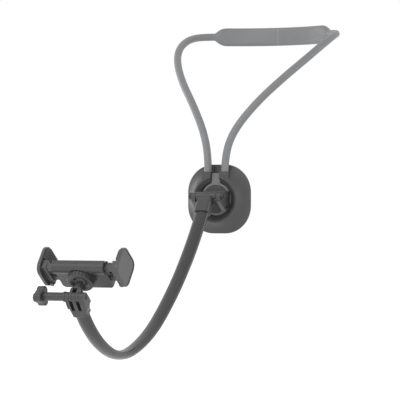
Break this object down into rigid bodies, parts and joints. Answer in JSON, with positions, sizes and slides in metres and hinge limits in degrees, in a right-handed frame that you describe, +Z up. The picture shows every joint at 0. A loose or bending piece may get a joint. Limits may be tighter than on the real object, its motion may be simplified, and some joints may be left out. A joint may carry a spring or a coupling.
{
  "type": "neck_worn_device_holder",
  "caption": "Hands-free holder worn round the neck: soft loop, chest pad with turntable, bendable U-shaped arm, two hinges, ball joint and self-centring spring clamp",
  "frame": {"origin": "middle of the nape pad's inner face, at half its height, where it lies on the back of the neck", "axes": "+Z up, -Y forward from the wearer's chest, +X to the right of somebody who looks at the wearer"},
  "size_m": [0.178, 0.5124, 0.3438],
  "materials": {
    "silicone": "satin",
    "black_plastic": "matte",
    "black_rubber": "matte",
    "grey_plastic": "satin",
    "steel": "satin",
    "black_steel": "satin",
    "nylon": "satin"
  },
  "bodies": {
    "neck_frame": {"neck_loop": "silicone", "chest_shell": "black_plastic", "back_plate": "black_plastic", "back_cushion": "black_rubber", "plate_screws": "steel", "hub_ring": "grey_plastic"},
    "turn_head": {"turntable": "black_plastic", "friction_washer": "steel", "pivot_screw": "steel", "hinge_bolt": "black_steel", "hinge_nut": "black_steel"},
    "arm": {"arm_head": "black_plastic", "gooseneck": "black_rubber", "arm_fork": "black_plastic", "fork_nut": "steel"},
    "thumb_screw": {"thumb_knob": "black_plastic", "thumb_bolt": "steel", "thumb_washer": "black_plastic"},
    "stem": {"ball_stem": "black_plastic"},
    "liner": {"ball_liner": "nylon"},
    "clamp_body": {"clamp_back_shell": "black_plastic", "clamp_front_shell": "black_plastic", "shell_screws": "steel", "face_pad": "black_rubber"},
    "collar": {"lock_collar": "black_plastic"},
    "gear": {"sync_gear": "nylon", "gear_spring": "steel"},
    "right_slider": {"jaw_right": "black_plastic", "grip_right": "black_rubber"},
    "left_slider": {"jaw_left": "black_plastic", "grip_left": "black_rubber"}
  },
  "joints": [
    {"name": "arm_turn", "type": "hinge", "parent": "neck_frame", "child": "turn_head", "pos_m": [0, -0.169, -0.18], "axis": [0, 1, 0], "continuous": true},
    {"name": "arm_tilt", "type": "hinge", "parent": "turn_head", "child": "arm", "pos_m": [0, -0.194, -0.177], "axis": [1, 0, 0], "range_deg": [-95, 30]},
    {"name": "thumb_turn", "type": "hinge", "parent": "arm", "child": "thumb_screw", "pos_m": [0, -0.49389, -0.27015], "axis": [1, 0, 0], "continuous": true},
    {"name": "clamp_tilt", "type": "hinge", "parent": "arm", "child": "stem", "pos_m": [0, -0.49389, -0.27015], "axis": [1, 0, 0], "range_deg": [-6, 155]},
    {"name": "ball_tilt", "type": "hinge", "parent": "stem", "child": "liner", "pos_m": [0, -0.48065, -0.25321], "axis": [1, 0, 0], "range_deg": [-25, 25]},
    {"name": "clamp_spin", "type": "hinge", "parent": "liner", "child": "clamp_body", "pos_m": [0, -0.48065, -0.25321], "axis": [0, -0.6157, -0.788], "continuous": true},
    {"name": "collar_turn", "type": "hinge", "parent": "clamp_body", "child": "collar", "pos_m": [0, -0.48065, -0.25321], "axis": [0, -0.6157, -0.788], "range_deg": [-120, 30]},
    {"name": "gear_spin", "type": "hinge", "parent": "clamp_body", "child": "gear", "pos_m": [0, -0.47265, -0.24296], "axis": [0, 0.6157, 0.788], "range_deg": [-49, 83.6]},
    {"name": "right_slide", "type": "slide", "parent": "clamp_body", "child": "right_slider", "axis": [1, 0, 0], "range_m": [-0.0041, 0.007]},
    {"name": "left_slide", "type": "slide", "parent": "clamp_body", "child": "left_slider", "axis": [-1, 0, 0], "range_m": [-0.0041, 0.007]}
  ],
  "couplings": [
    {"joint": "gear_spin", "follows": "right_slide", "rad_per_m": 208.33},
    {"joint": "left_slide", "follows": "right_slide", "ratio": 1}
  ]
}
